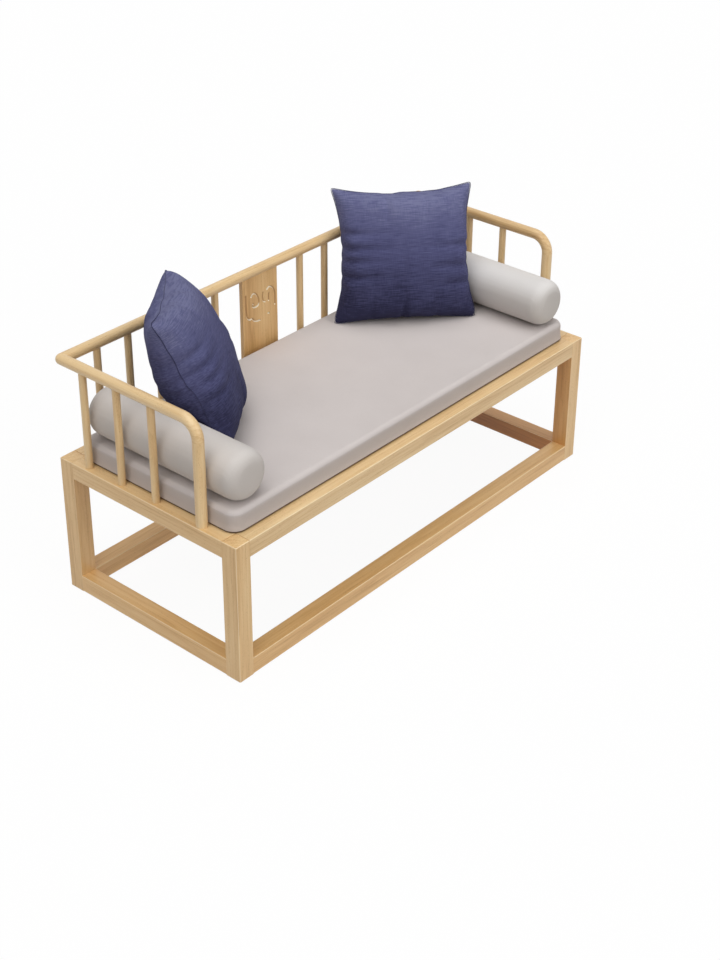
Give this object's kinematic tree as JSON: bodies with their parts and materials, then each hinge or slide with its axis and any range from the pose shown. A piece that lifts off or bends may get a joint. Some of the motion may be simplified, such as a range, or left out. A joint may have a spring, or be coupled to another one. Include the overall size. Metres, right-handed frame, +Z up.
{
  "type": "daybed",
  "caption": "Low open-frame daybed with a slatted deck, round back and arm rails on turned spindles, a carved splat, a seat cushion, two bolsters and two square pillows.",
  "frame": {"origin": "on the floor, below the middle of the frame", "axes": "+X along the seat to the sitter's left as they face out, -Y towards the front, +Z up"},
  "size_m": [1.5, 0.6554, 0.8836],
  "materials": {
    "ash_wood": "clear matt oil over a straight open grain",
    "steel": "zinc plated",
    "felt": "pressed wool felt",
    "greige_cloth": "woven upholstery cloth, close texture",
    "navy_cloth": "slubbed linen weave",
    "filling": "soft filling, out of sight"
  },
  "bodies": {
    "frame": {"arm_rail_left": "ash_wood", "arm_rail_right": "ash_wood", "arm_spindle_left_1": "ash_wood", "arm_spindle_left_2": "ash_wood", "arm_spindle_left_3": "ash_wood", "arm_spindle_right_1": "ash_wood", "arm_spindle_right_2": "ash_wood", "arm_spindle_right_3": "ash_wood", "back_rail": "ash_wood", "back_spindle_01": "ash_wood", "back_spindle_02": "ash_wood", "back_spindle_03": "ash_wood", "back_spindle_04": "ash_wood", "back_spindle_05": "ash_wood", "back_spindle_06": "ash_wood", "back_spindle_07": "ash_wood", "back_spindle_08": "ash_wood", "back_spindle_09": "ash_wood", "back_spindle_10": "ash_wood", "back_splat": "ash_wood", "floor_pads": "felt", "floor_rail_front": "ash_wood", "floor_rail_left": "ash_wood", "floor_rail_rear": "ash_wood", "floor_rail_right": "ash_wood", "front_post_left": "ash_wood", "front_post_right": "ash_wood", "ledger_screws": "steel", "leg_front_left": "ash_wood", "leg_front_right": "ash_wood", "leg_rear_left": "ash_wood", "leg_rear_right": "ash_wood", "rail_dowels": "ash_wood", "seat_ledgers": "ash_wood", "seat_rail_front": "ash_wood", "seat_rail_left": "ash_wood", "seat_rail_rear": "ash_wood", "seat_rail_right": "ash_wood", "seat_slat_01": "ash_wood", "seat_slat_02": "ash_wood", "seat_slat_03": "ash_wood", "seat_slat_04": "ash_wood", "seat_slat_05": "ash_wood", "seat_slat_06": "ash_wood", "seat_slat_07": "ash_wood", "seat_slat_08": "ash_wood", "seat_slat_09": "ash_wood", "seat_slat_10": "ash_wood", "seat_stretcher": "ash_wood", "slat_screws": "steel"},
    "seat_cushion": {"seat_cushion_core": "filling", "seat_cushion_cover": "greige_cloth"},
    "bolster_left": {"bolster_left_core": "filling", "bolster_left_cover": "greige_cloth"},
    "bolster_right": {"bolster_right_core": "filling", "bolster_right_cover": "greige_cloth"},
    "pillow_left": {"pillow_left_cover": "navy_cloth", "pillow_left_insert": "filling"},
    "pillow_right": {"pillow_right_cover": "navy_cloth", "pillow_right_insert": "filling"}
  },
  "joints": [
    {"name": "seat_cushion_lift", "type": "slide", "parent": "frame", "child": "seat_cushion", "axis": [0, 0, 1], "range_m": [0, 0.35]},
    {"name": "bolster_left_lift", "type": "slide", "parent": "seat_cushion", "child": "bolster_left", "axis": [0, 0, 1], "range_m": [0, 0.35]},
    {"name": "bolster_right_lift", "type": "slide", "parent": "seat_cushion", "child": "bolster_right", "axis": [0, 0, 1], "range_m": [0, 0.35]},
    {"name": "pillow_left_lift", "type": "slide", "parent": "bolster_left", "child": "pillow_left", "axis": [0, 0, 1], "range_m": [0, 0.35]},
    {"name": "pillow_right_lift", "type": "slide", "parent": "bolster_right", "child": "pillow_right", "axis": [0, 0, 1], "range_m": [0, 0.35]}
  ]
}
